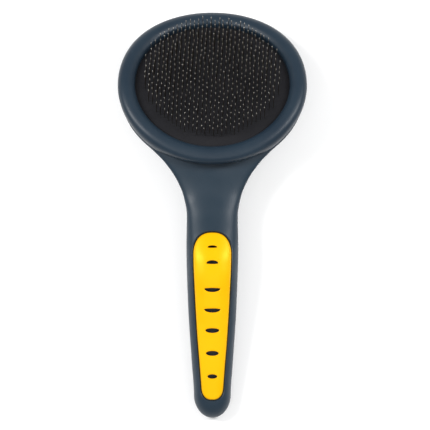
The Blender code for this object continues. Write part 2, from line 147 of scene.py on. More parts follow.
# Finish of the ring: its rolled inner lip, its heel, and how its foot spreads over the flare and
# drops onto the front cover, each from and to a distance from the middle of the neck
COVER_INSET = 0.0004
RIM_SOLE = COVER_EDGE + 0.0001
RIM_ROLL = [(RIM_WIDTH - 0.0001, 0.0013), (RIM_WIDTH, 0.0007)]
RIM_HEEL = [(0.0007, RIM_SOLE), (0.0004, RIM_SOLE + 0.0002), (0.0002, -0.0024)]
WALL_TOP = 0.0020
SPREAD_MOST = 0.0022
SPREAD_STEP = 0.00002
SPREAD_PAST = 0.0002
SPREAD_FROM = 0.023
SPREAD_FULL = 0.036
SPREAD_POWER = 0.8
DROP_MOST = 0.0016
DROP_FROM = 0.008
DROP_FULL = 0.019

# Finish of the front cover: the share of its height taken by the hollow below the ring, and how
# far its edge tucks in under the ring. A flare is (margin, height) up the lip of a cut.
HOLLOWS = [(0.118, 0.0), (0.126, 0.34), (0.133, 0.76), (0.144, 0.80)]
HOLLOW_WIDTH = 0.013
TUCKS = [(0.1430, 0.0), (LID_END_U, 0.0011)]
RECESS_FLARE = [(0.0, -0.00025), (0.00006, -0.00010), (0.00022, 0.00008), (0.00080, 0.00090)]
RECESS_CUT_TOP = 0.0014
DISH_CUT = (-0.030, 0.010)

# Finish of the grip and the pad
GRIP_EDGE = 0.0009
GRIP_CHAMFER = 0.0002
SLOT_FLOOR = -0.0039
SLOT_FLARE = [(0.0, -0.0004), (0.00008, -0.00018), (0.00026, -0.00004), (0.0012, 0.0003)]
SHEET_EDGE = 0.0003
FOAM_EDGE = 0.0006

# Finish of the pins: wire, unevenness, where the points along a leg lie, and chamfered ends, whose
# length and radius are shares of the wire's radius
WIRE_RADIUS = 0.00018
# TIP_GLINT is the range of strength of the painted highlight on each pin tip, drawn at random for
# each tip
TIP_GLINT = (0.7, 1.0)
CROWN_CLEAR = 0.00015
FOOT_RISE = 0.0005
LONE_CROWN = 0.0012
PIN_SWAY = 0.00024
KNEE_SWAY = 0.00015
KNEE_FOLLOW_X = 0.4
KNEE_FOLLOW_S = 0.3
LOW_SHARES = (0.5, 0.88)
HIGH_SHARES = (0.05, 0.16, 0.55)
CHAMFER_LENGTH = 0.4
CHAMFER_RADIUS = 0.62
SEED = 7

# Fineness and shading of the finished meshes. SIDE_CROWDING draws a section's points towards its
# sides, and FLATTEST is the furthest place across at which the front's height is read.
OVAL_SIDES = 180
LAYER_SIDES = 96
LAYER_RINGS = 22
SLOT_SIDES = 48
WIRE_SIDES = 8
SECTION_STEPS = 48
EDGE_STEPS = 4
END_ROWS = 20
ROW_STEP = 0.0016
FLARE_ROWS = 16
TIP_ROWS = 40
ROOM_ROWS = 24
CROWN_STEPS = 22
SIDE_STEPS = 46
FOOT_STEPS = 16
BEVEL_STEPS = 6
CAP_SHARES = (0.85, 0.65, 0.45, 0.25, 0.08)
SIDE_CROWDING = 1.25
FLATTEST = 0.98
EDGE_ROUND = 0.0003
MERGE_DISTANCE = 0.000003
SHARP_ANGLE = radians(32)
WIRE_SHARP_ANGLE = radians(50)

# How fine the textures are, in features per metre, and the span of a noise's values that is used
DRIFT_SCALE = 45.0
GLOSS_SCALE = 160.0
BROAD_SCALE = 900.0
FINE_SCALE = 5200.0
DRAWN_SCALE = 3000.0
FOAM_SCALE = 2600.0
NOISE_SPAN = (0.3, 0.7)

# The stage, the lights as (name, place, size, power) and the camera, which aims at a handle place
FLOOR_RADIUS = 9.0
FLOOR_GAP = 0.0001
FLOOR_GLOW = 0.06
WORLD_STRENGTH = 0.42
LIGHTS = [("left_box", (-0.88, 0.20, 1.10), (0.36, 0.75), 15.5),
          ("right_box", (0.88, 0.30, 1.10), (0.36, 0.75), 13.5),
          ("front_box", (0, -0.75, 1.9), (1.4, 1.0), 6.0)]
CAMERA_DISTANCE = 3.0
CAMERA_AIM = (0.0014, 0.1067, -0.008)
SEEN_WIDTH = 0.2263
SENSOR_WIDTH = 36.0


# Curves and places

def smooth(stations):
    """A function of place: the smooth line through stations, without overshoot."""
    places = [place for place, _ in stations]
    values = [value for _, value in stations]
    steps = [(values[i + 1] - values[i]) / (places[i + 1] - places[i])
             for i in range(len(places) - 1)]
    slopes = [0.0]
    for before, after in zip(steps, steps[1:]):
        turning = before * after <= 0
        slopes.append(0.0 if turning else 2 * before * after / (before + after))
    slopes.append(steps[-1])

    def value_at(place):
        if place <= places[0]:
            return values[0]
        if place >= places[-1]:
            return values[-1]
        i = bisect_right(places, place) - 1
        span = places[i + 1] - places[i]
        t = (place - places[i]) / span
        start = (1 + 2 * t) * (1 - t) ** 2 * values[i] + t * (1 - t) ** 2 * span * slopes[i]
        end = t * t * (3 - 2 * t) * values[i + 1] - t * t * (1 - t) * span * slopes[i + 1]
        return start + end

    return value_at


def ease(place, start, end):
    """0 up to start and 1 from end, with a smooth rise between them."""
    t = min(max((place - start) / (end - start), 0.0), 1.0)
    return t * t * (3 - 2 * t)


half_width_at = smooth(HALF_WIDTHS)
front_at = smooth(FRONTS)
seam_at = smooth(SEAMS)
depth_at = smooth(DEPTHS)
tilt_at = smooth(TILTS)
hollow_at = smooth(HOLLOWS)
tuck_at = smooth(TUCKS)
grip_width_at = smooth(GRIP_WIDTHS)


def head_section(s, h):
    """Handle place (u, n) and lean of the head's place (s, h)."""
    lean = HEAD_TILT + s / BEND_RADIUS
    reach = BEND_RADIUS + h
    u = HEAD_CENTRE_U + reach * sin(lean) - BEND_RADIUS * sin(HEAD_TILT)
    n = HEAD_CENTRE_N + reach * cos(lean) - BEND_RADIUS * cos(HEAD_TILT)
    return u, n, lean


def tip_reach():
    """Furthest Y of the rim's section at the head's tip, from the handle's end."""
    reaches = []
    for inset, h in RIM_PROFILE:
        u, n, _ = head_section(HEAD_TIP_REACH - inset, h)
        reaches.append(u * cos(REST_ANGLE) - n * sin(REST_ANGLE))
    return max(reaches)


# Y of the handle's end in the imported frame
END_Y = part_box("head_rim")[1][1] - tip_reach()


def handle_point(x, u, n):
    """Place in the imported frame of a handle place."""
    y = END_Y + u * cos(REST_ANGLE) - n * sin(REST_ANGLE)
    z = u * sin(REST_ANGLE) + n * cos(REST_ANGLE) + FLOOR_LIFT
    return Vector((x, y, z))


def head_point(x, s, h):
    """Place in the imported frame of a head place."""
    u, n, _ = head_section(s, h)
    return handle_point(x, u, n)


def oval(inset, h, scale=1.0, sides=OVAL_SIDES):
    """One ring of the head's outline, drawn in by inset, at height h."""
    ring = []
    for i in range(sides):
        angle = 2 * pi * i / sides
        reach = HEAD_TIP_REACH if sin(angle) > 0 else HEAD_NECK_REACH
        x = scale * (HEAD_HALF_WIDTH - inset) * cos(angle)
        s = scale * (reach - inset) * sin(angle)
        ring.append(head_point(x, s, h))
    return ring


# Meshes

def net(rows, ring=True, wrap=False):
    """Points and faces of a net over rows of points. A row of one point is a pole."""
    points = []
    index = []
    for row in rows:
        index.append(list(range(len(points), len(points) + len(row))))
        points.extend(row)
    if wrap:
        index.append(index[0])
    faces = []
    for lower, upper in zip(index, index[1:]):
        count = max(len(lower), len(upper))
        for i in range(count if ring else count - 1):
            j = (i + 1) % count
            corners = [lower[i % len(lower)], lower[j % len(lower)],
                       upper[j % len(upper)], upper[i % len(upper)]]
            faces.append(list(dict.fromkeys(corners)))
    return points, faces


def keep_in_box(points):
    """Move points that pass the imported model's box back to its faces."""
    for point in points:
        for axis in range(3):
            point[axis] = min(max(point[axis], CAD_BOX[0][axis]), CAD_BOX[1][axis])


def make_mesh(name, points, faces, sharp=SHARP_ANGLE):
    """A shown object with outward faces, shaded smooth up to the sharp angle."""
    mesh = bpy.data.meshes.new(name)
    mesh.from_pydata(points, [], faces)
    work = bmesh.new()
    work.from_mesh(mesh)
    bmesh.ops.recalc_face_normals(work, faces=work.faces)
    work.to_mesh(mesh)
    work.free()
    piece = bpy.data.objects.new(name, mesh)
    bpy.context.scene.collection.objects.link(piece)
    mesh.shade_smooth()
    mesh.set_sharp_from_angle(angle=sharp)
    return piece


def apply_modifiers(piece):
    """Replace the piece's mesh by what its modifiers make of it, without many-sided faces."""
    graph = bpy.context.evaluated_depsgraph_get()
    mesh = bpy.data.meshes.new_from_object(piece.evaluated_get(graph), depsgraph=graph)
    piece.modifiers.clear()
    work = bmesh.new()
    work.from_mesh(mesh)
    bmesh.ops.triangulate(work, faces=[face for face in work.faces if len(face.verts) > 4])
    bmesh.ops.dissolve_degenerate(work, edges=work.edges, dist=MERGE_DISTANCE)
    work.to_mesh(mesh)
    work.free()
    piece.data = mesh
    mesh.shade_smooth()
    mesh.set_sharp_from_angle(angle=SHARP_ANGLE)


def cut(piece, cutters):
    """Take the cutters away from the piece."""
    for cutter in cutters:
        change = piece.modifiers.new(cutter.name, "BOOLEAN")
        change.operation = "DIFFERENCE"
        change.object = cutter
        change.solver = "EXACT"
    apply_modifiers(piece)
    for cutter in cutters:
        bpy.data.objects.remove(cutter)


def place(piece, material, slot, *nodes):
    """Give the piece its material and tie it to the frame."""
    piece.data.materials.clear()
    piece.data.materials.append(material)
    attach(piece, "root")
    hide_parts(*nodes)


# Materials

def new_material(name, colour, roughness, metallic=0.0, specular=0.5):
    """A Principled material; returns it with its node tree and shader."""
    material = bpy.data.materials.new(name)
    material.use_nodes = True
    tree = material.node_tree
    shader = tree.nodes["Principled BSDF"]
    shader.inputs["Base Color"].default_value = (*colour, 1.0)
    shader.inputs["Roughness"].default_value = roughness
    shader.inputs["Metallic"].default_value = metallic
    shader.inputs["Specular IOR Level"].default_value = specular
    return material, tree, shader


def noise(tree, scale, detail=3.0, roughness=0.5, stretch=(1, 1, 1)):
    """Noise over the object's own place, in features per metre; returns its value socket."""
    spot = tree.nodes.new("ShaderNodeTexCoord")
    mapping = tree.nodes.new("ShaderNodeMapping")
    mapping.inputs["Scale"].default_value = stretch
    texture = tree.nodes.new("ShaderNodeTexNoise")
    texture.inputs["Scale"].default_value = scale
    texture.inputs["Detail"].default_value = detail
    texture.inputs["Roughness"].default_value = roughness
    tree.links.new(spot.outputs["Object"], mapping.inputs["Vector"])
    tree.links.new(mapping.outputs["Vector"], texture.inputs["Vector"])
    return texture.outputs["Fac"]


def remap(tree, value, low, high):
    """Turn a 0 to 1 value into low to high."""
    node = tree.nodes.new("ShaderNodeMapRange")
    node.inputs["From Min"].default_value = NOISE_SPAN[0]
    node.inputs["From Max"].default_value = NOISE_SPAN[1]
    node.inputs["To Min"].default_value = low
    node.inputs["To Max"].default_value = high
    tree.links.new(value, node.inputs["Value"])
    return node.outputs["Result"]


def blend_colours(tree, factor, first, second):
    """Mix two colours by a factor socket."""
    mix = tree.nodes.new("ShaderNodeMix")
    mix.data_type = "RGBA"
    mix.inputs["A"].default_value = (*first, 1.0)
    mix.inputs["B"].default_value = (*second, 1.0)
    tree.links.new(factor, mix.inputs["Factor"])
    return mix.outputs["Result"]


def add_bump(tree, shader, layers):
    """Stack bumps on the shader; each layer is (value socket, depth in metres)."""
    normal = None
    for value, depth in layers:
        bump = tree.nodes.new("ShaderNodeBump")
        bump.inputs["Strength"].default_value = 1.0
        bump.inputs["Distance"].default_value = depth
        tree.links.new(value, bump.inputs["Height"])
        if normal:
            tree.links.new(normal, bump.inputs["Normal"])
        normal = bump.outputs["Normal"]
    tree.links.new(normal, shader.inputs["Normal"])


def moulded(name, dark, light, roughness, grain, specular=0.5):
    """Moulded soft plastic: slight colour drift, uneven gloss and a fine matt grain."""
    material, tree, shader = new_material(name, dark, roughness, specular=specular)
    drift = remap(tree, noise(tree, DRIFT_SCALE, 2.0), 0.0, 1.0)
    tree.links.new(blend_colours(tree, drift, dark, light), shader.inputs["Base Color"])
    gloss = remap(tree, noise(tree, GLOSS_SCALE, 4.0), roughness - 0.04, roughness + 0.05)
    tree.links.new(gloss, shader.inputs["Roughness"])
    fine = noise(tree, FINE_SCALE, 2.0, 0.6)
    broad = noise(tree, BROAD_SCALE, 2.0)
    add_bump(tree, shader, [(broad, grain * 2.5), (fine, grain)])
    return material, tree, shader


def body_material():
    return moulded("body_blue", (0.012, 0.025, 0.039), (0.015, 0.029, 0.045),
                   0.42, 0.000011, specular=0.28)[0]


def rim_material():
    return moulded("rim_blue", (0.011, 0.022, 0.036), (0.014, 0.027, 0.042),
                   0.38, 0.000012, specular=0.28)[0]


def grip_material():
    material, _, shader = moulded("grip_yellow", (0.78, 0.395, 0.001), (0.82, 0.42, 0.002),
                                  0.33, 0.000005)
    shader.inputs["Specular Tint"].default_value = (1.0, 0.84, 0.12, 1.0)
    return material


def sheet_material():
    return moulded("sheet_charcoal", (0.0055, 0.0055, 0.0075), (0.0085, 0.0085, 0.011),
                   0.72, 0.000020, specular=0.22)[0]


def foam_material():
    material, tree, shader = new_material("foam_grey", (0.10, 0.10, 0.11), 0.95, specular=0.2)
    cells = tree.nodes.new("ShaderNodeTexVoronoi")
    cells.inputs["Scale"].default_value = FOAM_SCALE
    spot = tree.nodes.new("ShaderNodeTexCoord")
    tree.links.new(spot.outputs["Object"], cells.inputs["Vector"])
    shade = blend_colours(tree, cells.outputs["Distance"], (0.12, 0.12, 0.13), (0.07, 0.07, 0.08))
    tree.links.new(shade, shader.inputs["Base Color"])
    add_bump(tree, shader, [(cells.outputs["Distance"], 0.00008)])
    return material


def frame_material():
    return moulded("frame_black", (0.010, 0.010, 0.012), (0.015, 0.015, 0.017),
                   0.5, 0.000012)[0]


def wire_material():
    """Dark drawn steel, with painted highlights: the tips' colour is mixed towards pale steel."""
    material, tree, shader = new_material("wire_steel", (0.3, 0.27, 0.24), 0.45, metallic=1.0)
    tip = tree.nodes.new("ShaderNodeAttribute")
    tip.attribute_name = "tip"
    # Painted highlight: the "tip" attribute mixes each pin tip's colour from dark steel towards pale
    shade = blend_colours(tree, tip.outputs["Fac"], (0.11, 0.095, 0.08), (0.72, 0.68, 0.62))
    tree.links.new(shade, shader.inputs["Base Color"])
    drawn = noise(tree, DRAWN_SCALE, 2.0, 0.5, (1, 1, 0.15))
    tree.links.new(remap(tree, drawn, 0.40, 0.55), shader.inputs["Roughness"])
    return material


# The covers

def end_rounding(u):
    """How full the rounded end of the handle is at u: 0 at its very end, 1 past the rounding."""
    if u >= END_ROUND:
        return 1.0
    return sqrt(max(1 - ((END_ROUND - u) / END_ROUND) ** 2, 0.0))


def half_section(half_width, height):
    """(x, rise) points of a half section, from +x to -x, with its edge at the seam rounded."""
    edge = min(EDGE_ROUND, height / 4, half_width / 4)
    right = []
    for i in range(EDGE_STEPS):
        angle = pi / 2 * i / EDGE_STEPS
        rise = edge * (1 - cos(angle))
        inward = edge * (1 - sin(angle))
        out = half_width * (1 - (rise / height) ** SECTION_POWER) ** (1 / SECTION_POWER)
        right.append((out - inward, rise))
    first = asin(min((edge / height) ** (SECTION_POWER / 2), 1.0))
    steps = SECTION_STEPS // 2
    for i in range(steps):
        t = first + (pi / 2 - first) * (i / steps) ** SIDE_CROWDING
        x = half_width * cos(t) ** (2 / SECTION_POWER)
        right.append((x, height * sin(t) ** (2 / SECTION_POWER)))
    left = [(-x, rise) for x, rise in reversed(right)]
    return right + [(0.0, height)] + left


def section(half_width, height, u, n, lean, side, hollow=0.0):
    """One half section across the body, over the seam (side 1) or under it (side -1)."""
    row = []
    for x, rise in half_section(half_width, height):
        rise *= 1 - hollow * exp(-(x / HOLLOW_WIDTH) ** 2)
        row.append(handle_point(x, u + side * rise * sin(lean), n + side * rise * cos(lean)))
    return row


def handle_section(u, side, inset=0.0, lower=0.0, lift=0.0):
    """Half section of the handle or the neck, drawn in by inset at its sides."""
    full = end_rounding(u)
    height = depth_at(u) if side < 0 else front_at(u) - seam_at(u)
    half_width = half_width_at(u) * full - inset
    hollow = 0.0 if side < 0 else hollow_at(u)
    return section(half_width, height * full - lower, u, seam_at(u) + lift, tilt_at(u), side,
                   hollow)


def shell_section(s):
    """Half section of the rear cover under the head."""
    reach = HEAD_TIP_REACH - COVER_INSET
    u, n, lean = head_section(s, COVER_EDGE)
    if s > 0:
        half_width = (HEAD_HALF_WIDTH - COVER_INSET) * sqrt(1 - (s / reach) ** 2)
        depth = SHELL_DEPTH * (1 - (s / reach) ** SECTION_POWER) ** (1 / SECTION_POWER)
    else:
        half_width = half_width_at(u)
        depth = depth_at(u)
    return section(half_width, depth, u, n, lean, -1)


def along_handle(last):
    """Places along the handle, close together at its rounded end."""
    end = [END_ROUND * (1 - cos(pi / 2 * i / END_ROWS)) for i in range(1, END_ROWS)]
    count = int((last - END_ROUND) / ROW_STEP)
    return end + [END_ROUND + (last - END_ROUND) * i / count for i in range(count + 1)]


def make_rear_cover(material):
    """Back shell of the handle, the neck and the head, flat where it lies on the floor."""
    join_u = head_section(FLARE_END_S, COVER_EDGE)[0]
    rows = [[handle_point(0, 0, seam_at(0))]]
    rows += [handle_section(u, -1) for u in along_handle(join_u - ROW_STEP)]
    rows += [shell_section(FLARE_END_S * (1 - i / FLARE_ROWS)) for i in range(FLARE_ROWS + 1)]
    reach = HEAD_TIP_REACH - COVER_INSET
    rows += [shell_section(reach * sin(pi / 2 * i / TIP_ROWS)) for i in range(1, TIP_ROWS)]
    rows.append([head_point(0, reach, COVER_EDGE)])
    points, faces = net(rows, ring=False)
    keep_in_box(points)
    cover = make_mesh("rear_shell", points, faces)
    shell = cover.modifiers.new("wall", "SOLIDIFY")
    shell.thickness = WALL
    shell.offset = -1
    apply_modifiers(cover)
    place(cover, material, "body", "rear_cover")


def grip_half_width(u, margin=0.0):
    """Half width of the grip's outline: tapering sides between two rounded ends."""
    into_top = (u - GRIP_TOP - margin + GRIP_TOP_ROUND) / GRIP_TOP_ROUND
    into_bottom = (GRIP_BOTTOM - margin + GRIP_BOTTOM_ROUND - u) / GRIP_BOTTOM_ROUND
    into_end = min(max(into_top, into_bottom, 0.0), 1.0)
    fullness = (1 - into_end ** SECTION_POWER) ** (1 / SECTION_POWER)
    return (grip_width_at(u) + margin) * fullness


def front_height(x, u):
    """Height of the front cover's outside at (x, u)."""
    rise = (front_at(u) - seam_at(u)) * end_rounding(u)
    across = min(abs(x) / (half_width_at(u) * end_rounding(u)), FLATTEST)
    return seam_at(u) + rise * (1 - across ** SECTION_POWER) ** (1 / SECTION_POWER)


def grip_outline(margin):
    """Points (x, u) round the grip, grown by margin: up its right side and down its left."""
    low = GRIP_BOTTOM - margin
    high = GRIP_TOP + margin
    bend = 2 / SECTION_POWER
    places = [low + GRIP_BOTTOM_ROUND * (1 - cos(pi / 2 * i / FOOT_STEPS) ** bend)
              for i in range(FOOT_STEPS)]
    start = low + GRIP_BOTTOM_ROUND
    run = high - GRIP_TOP_ROUND - start
    places += [start + run * i / SIDE_STEPS for i in range(SIDE_STEPS)]
    places += [high - GRIP_TOP_ROUND * (1 - sin(pi / 2 * i / CROWN_STEPS) ** bend)
               for i in range(CROWN_STEPS)]
    right = [(grip_half_width(u, margin), u) for u in places]
    left = [(-x, u) for x, u in reversed(right[1:])]
    return right + [(0.0, high)] + left


def wall_rows(outline_at, profile):
    """Rings of a wall: outline_at(margin) at each (margin, height over the front) of profile."""
    rows = []
    for margin, height in profile:
        rows.append([handle_point(x, u, front_height(x, u) + height)
                     for x, u in outline_at(margin)])
    return rows


def make_front_cover(material):
    """Lid over the handle and the neck, with the grip's recess and room for the spine."""
    rows = [[handle_point(0, 0, seam_at(0) + SEAM_GAP)]]
    rows += [handle_section(u, 1, tuck_at(u), lift=SEAM_GAP) for u in along_handle(LID_END_U)]
    points, faces = net(rows)
    faces.append(list(range(len(points) - len(rows[-1]), len(points))))
    keep_in_box(points)
    cover = make_mesh("front_shell", points, faces)

    lowered = GRIP_THICK - GRIP_PROUD + GAP + GRIP_BACKING - WALL
    step = (ROOM_END - ROOM_START) / ROOM_ROWS
    inside = [ROOM_START + step * (i + 0.5) for i in range(ROOM_ROWS)]
    rows = [handle_section(u, 1, WALL, lowered, -WALL) for u in inside]
    points, faces = net(rows)
    faces.append(list(range(len(rows[0]))))
    faces.append(list(range(len(points) - len(rows[-1]), len(points))))
    room = make_mesh("room", points, faces)

    floor = GRIP_PROUD - GRIP_THICK - GAP
    profile = [(RECESS_MARGIN, floor)]
    profile += [(RECESS_MARGIN + margin, height) for margin, height in RECESS_FLARE]
    recess = capped_net("recess", wall_rows(grip_outline, profile), floor, RECESS_CUT_TOP)

    rows = [oval(DISH_INSET - GAP, height) for height in DISH_CUT]
    points, faces = net(rows)
    faces.append(list(range(OVAL_SIDES)))
    faces.append(list(range(OVAL_SIDES, 2 * OVAL_SIDES)))
    dish = make_mesh("dish", points, faces)
    cut(cover, [room, recess, dish] + slot_cutters())
    place(cover, material, "body", "front_cover")


def capped_net(name, rows, floor, top):
    """A ring wall closed by two caps that follow the handle's front."""
    points, faces = net(rows)
    count = len(rows[0])
    for first, height in ((0, floor), (len(points) - count, top)):
        close_cap(points, faces, list(range(first, first + count)), height)
    return make_mesh(name, points, faces)


def cap_place(point):
    """Handle place (x, u) of a point on the handle's front."""
    y = point.y - END_Y
    z = point.z - FLOOR_LIFT
    return point.x, y * cos(REST_ANGLE) + z * sin(REST_ANGLE)


def close_cap(points, faces, loop, height):
    """Close a loop with rings that shrink towards its long middle line."""
    span = [cap_place(points[i]) for i in loop]
    low = min(u for _, u in span) + GRIP_BOTTOM_ROUND
    high = max(u for _, u in span) - GRIP_TOP_ROUND
    outer = loop
    for share in CAP_SHARES:
        ring = []
        for x, u in span:
            middle = min(max(u, low), high)
            inner_x = x * share
            inner_u = middle + (u - middle) * share
            ring.append(len(points))
            points.append(handle_point(inner_x, inner_u, front_height(inner_x, inner_u) + height))
        for i in range(len(outer)):
            j = (i + 1) % len(outer)
            faces.append([outer[i], outer[j], ring[j], ring[i]])
        outer = ring
    count = len(outer)
    for k in range(count // 2):
        corners = [outer[step % count] for step in (-k, k, k + 1, -k - 1)]
        faces.append(list(dict.fromkeys(corners)))


def slot_outline_at(slot):
    """Outline of one slot, as a function of margin: two shallow arcs that meet at its ends."""
    u, half_width, up, down = slot

    def outline(margin):
        places = []
        for i in range(SLOT_SIDES):
            angle = 2 * pi * i / SLOT_SIDES
            bulge = up if angle < pi else down
            x = (half_width + margin) * cos(angle)
            places.append((x, u + (bulge + margin) * sin(angle)))
        return places

    return outline


def slot_cutters():
    """Cutters for the slots, flared at the top to soften the slots' lips."""
    profile = [(0.0, SLOT_FLOOR)]
    profile += [(margin, GRIP_PROUD + height) for margin, height in SLOT_FLARE]
    cutters = []
    for number, slot in enumerate(SLOTS, start=1):
        u = slot[0]
        rows = wall_rows(slot_outline_at(slot), profile)
        rows.insert(0, [handle_point(0, u, front_height(0, u) + SLOT_FLOOR)])
        rows.append([handle_point(0, u, front_height(0, u) + profile[-1][1])])
        points, faces = net(rows)
        cutters.append(make_mesh(f"slot_{number}", points, faces))
    return cutters


def make_thumb_grip(material):
    """Yellow inlay with rounded edges and seven slots with softened lips."""
    thick = GRIP_THICK - GRIP_PROUD
    profile = [(-GRIP_CHAMFER, -thick), (0.0, -thick + GRIP_CHAMFER)]
    for i in range(BEVEL_STEPS + 1):
        angle = pi / 2 * i / BEVEL_STEPS
        rise = GRIP_PROUD - GRIP_EDGE + GRIP_EDGE * sin(angle)
        profile.append((-GRIP_EDGE * (1 - cos(angle)), rise))
    grip = capped_net("grip_inlay", wall_rows(grip_outline, profile), -thick, GRIP_PROUD)
    cut(grip, slot_cutters())
    place(grip, material, "grip", "thumb_grip")


# The head

def rounded(profile, corners, steps=6):
    """Smooth closed line through profile points, straight at the numbered corners."""
    line = []
    count = len(profile)
    for i in range(count):
        a, b, c, d = (Vector(profile[(i + k) % count]) for k in (-1, 0, 1, 2))
        if i in corners:
            a = b
        if (i + 1) % count in corners:
            d = c
        if i in corners and (i + 1) % count in corners:
            line.append(b)
            continue
        for k in range(steps):
            t = k / steps
            line.append(0.5 * ((2 * b) + (c - a) * t + (2 * a - 5 * b + 4 * c - d) * t * t
                               + (3 * b - a - 3 * c + d) * t ** 3))
    return [(point.x, point.y) for point in line]


def make_head_rim(material):
    """Soft ring: rounded crest, rolled inner lip and the rabbet that holds the pad's edge."""
    rabbet = [(RIM_WIDTH, RABBET_TOP), (RABBET_INSET, RABBET_TOP), (RABBET_INSET, RIM_SOLE)]
    profile = RIM_PROFILE[:-1] + RIM_ROLL + rabbet + RIM_HEEL
    first = len(RIM_PROFILE) - 1 + len(RIM_ROLL)
    line = rounded(profile, corners=range(first, first + len(rabbet) + 1))
    foot = []
    for i in range(OVAL_SIDES):
        spread = foot_spread(2 * pi * i / OVAL_SIDES)
        foot.append((spread, foot_drop(2 * pi * i / OVAL_SIDES, spread)))
    points, faces = net([rim_ring(inset, h, foot) for inset, h in line], wrap=True)
    keep_in_box(points)
    place(make_mesh("bumper_rim", points, faces), material, "rim", "head_rim")


def foot_spread(angle):
    """How far the rim's foot spreads outwards at angle, to lie flush with the covers' flare."""
    x, s = HEAD_HALF_WIDTH * cos(angle), HEAD_NECK_REACH * sin(angle)
    if s > 0:
        return 0.0
    out = Vector((x / HEAD_HALF_WIDTH ** 2, s / HEAD_NECK_REACH ** 2)).normalized()
    spread = 0.0
    while spread < SPREAD_MOST:
        u = head_section(s + spread * out.y, COVER_EDGE)[0]
        if abs(x + spread * out.x) > half_width_at(u) + SPREAD_PAST:
            break
        spread += SPREAD_STEP
    return spread * ease(abs(x), SPREAD_FROM, SPREAD_FULL)


def foot_drop(angle, spread):
    """How far the rim's foot reaches down at angle, to lie on the front cover at the neck."""
    x = (HEAD_HALF_WIDTH + spread - COVER_INSET) * cos(angle)
    u, n, lean = head_section((HEAD_NECK_REACH + spread - COVER_INSET) * sin(angle), RIM_SOLE)
    if sin(angle) > 0 or u > LID_END_U:
        return 0.0
    clear = n - front_height(x, u) - SEAM_GAP
    return min(max(clear / cos(lean), 0.0), DROP_MOST) * ease(abs(x), DROP_FROM, DROP_FULL)


def rim_ring(inset, h, foot):
    """One ring of the rim; its outer wall leans out and reaches down to its foot."""
    ring = []
    for i, (spread, drop) in enumerate(foot):
        angle = 2 * pi * i / OVAL_SIDES
        reach = HEAD_TIP_REACH if sin(angle) > 0 else HEAD_NECK_REACH
        outer = min(max(1 - inset / RIM_WIDTH * 2, 0.0), 1.0)
        fall = min(max((WALL_TOP - h) / (WALL_TOP - RIM_SOLE), 0.0), 1.0)
        grown = spread * fall ** SPREAD_POWER * outer - inset
        ring.append(head_point((HEAD_HALF_WIDTH + grown) * cos(angle),
                               (reach + grown) * sin(angle), h - drop * fall * outer))
    return ring


def layer_rows(inset, top, bottom, edge):
    """Rings of an oval layer with a rounded edge, from its top's middle to its bottom's."""
    full = HEAD_HALF_WIDTH - inset
    shares = [(i + 1) / LAYER_RINGS for i in range(LAYER_RINGS - 1)]
    rows = [[head_point(0, 0, top)]]
    rows += [oval(inset, top, share * (full - edge) / full, LAYER_SIDES) for share in shares]
    for i in range(EDGE_STEPS + 1):
        angle = pi / 2 * i / EDGE_STEPS
        inward = edge * (1 - sin(angle))
        rows.append(oval(inset + inward, top - edge * (1 - cos(angle)), 1, LAYER_SIDES))
    rows.append(oval(inset, bottom, 1, LAYER_SIDES))
    rows += [oval(inset, bottom, share, LAYER_SIDES) for share in reversed(shares)]
    rows.append([head_point(0, 0, bottom)])
    return rows


def make_pad(sheet_look, foam_look):
    """The rubber sheet that the pins stand in, and the foam cushion under it."""
    inset = RABBET_INSET + GAP
    underside = FOUNDATION_TOP - FOUNDATION_THICK
    points, faces = net(layer_rows(inset, FOUNDATION_TOP, underside, SHEET_EDGE))
    place(make_mesh("pin_sheet", points, faces), sheet_look, "foundation", "pin_foundation")
    top = underside - GAP
    points, faces = net(layer_rows(inset, top, top - FOAM_THICK, FOAM_EDGE))
    foam = make_mesh("foam_cushion", points, faces)
    place(foam, foam_look, "foam", "pad_foam")


# The pins

def pin_places(column):
    """Places along one column of pins, inside the oval field."""
    across = (column - (COLUMNS - 1) / 2) * COLUMN_SPACING
    half = FIELD_HALF_LENGTH * sqrt(1 - (across / FIELD_HALF_WIDTH) ** 2)
    shift = 0.5 * PIN_PITCH if column % 2 else 0.0
    reach = int(half // PIN_PITCH) + 1
    places = [i * PIN_PITCH + shift for i in range(-reach, reach + 1)]
    return across, [place for place in places if abs(place) <= half]


def leg(across, place_s, chance):
    """Centre line of one pin from its foot under the sheet to its tip, bent at the knee."""
    foot = FOUNDATION_TOP - FOUNDATION_THICK - CROWN_CLEAR
    sway_x = chance.gauss(0, PIN_SWAY)
    sway_s = chance.gauss(0, PIN_SWAY)
    knee = KNEE_HEIGHT + chance.gauss(0, KNEE_SWAY)
    bend = place_s + KNEE_LEAN + KNEE_FOLLOW_S * sway_s
    low = (across, place_s, foot + FOOT_RISE)
    middle = (across + KNEE_FOLLOW_X * sway_x, bend, knee)
    high = (across + sway_x, place_s + TIP_LEAN + sway_s, TIP_HEIGHT)
    line = [(across, place_s, foot), low]
    line += [between(low, middle, share) for share in LOW_SHARES]
    line += [between(middle, high, share) for share in HIGH_SHARES]
    return line + [high]


def between(start, end, share):
    """Place at a share of the way from start to end."""
    return tuple(a + (b - a) * share for a, b in zip(start, end))


def turned(x, s, h):
    """Head place of a place in the pins' own slightly turned field."""
    turned_x = x * cos(FIELD_TURN) - s * sin(FIELD_TURN)
    turned_s = x * sin(FIELD_TURN) + s * cos(FIELD_TURN)
    return head_point(turned_x, turned_s + FIELD_CENTRE, h)


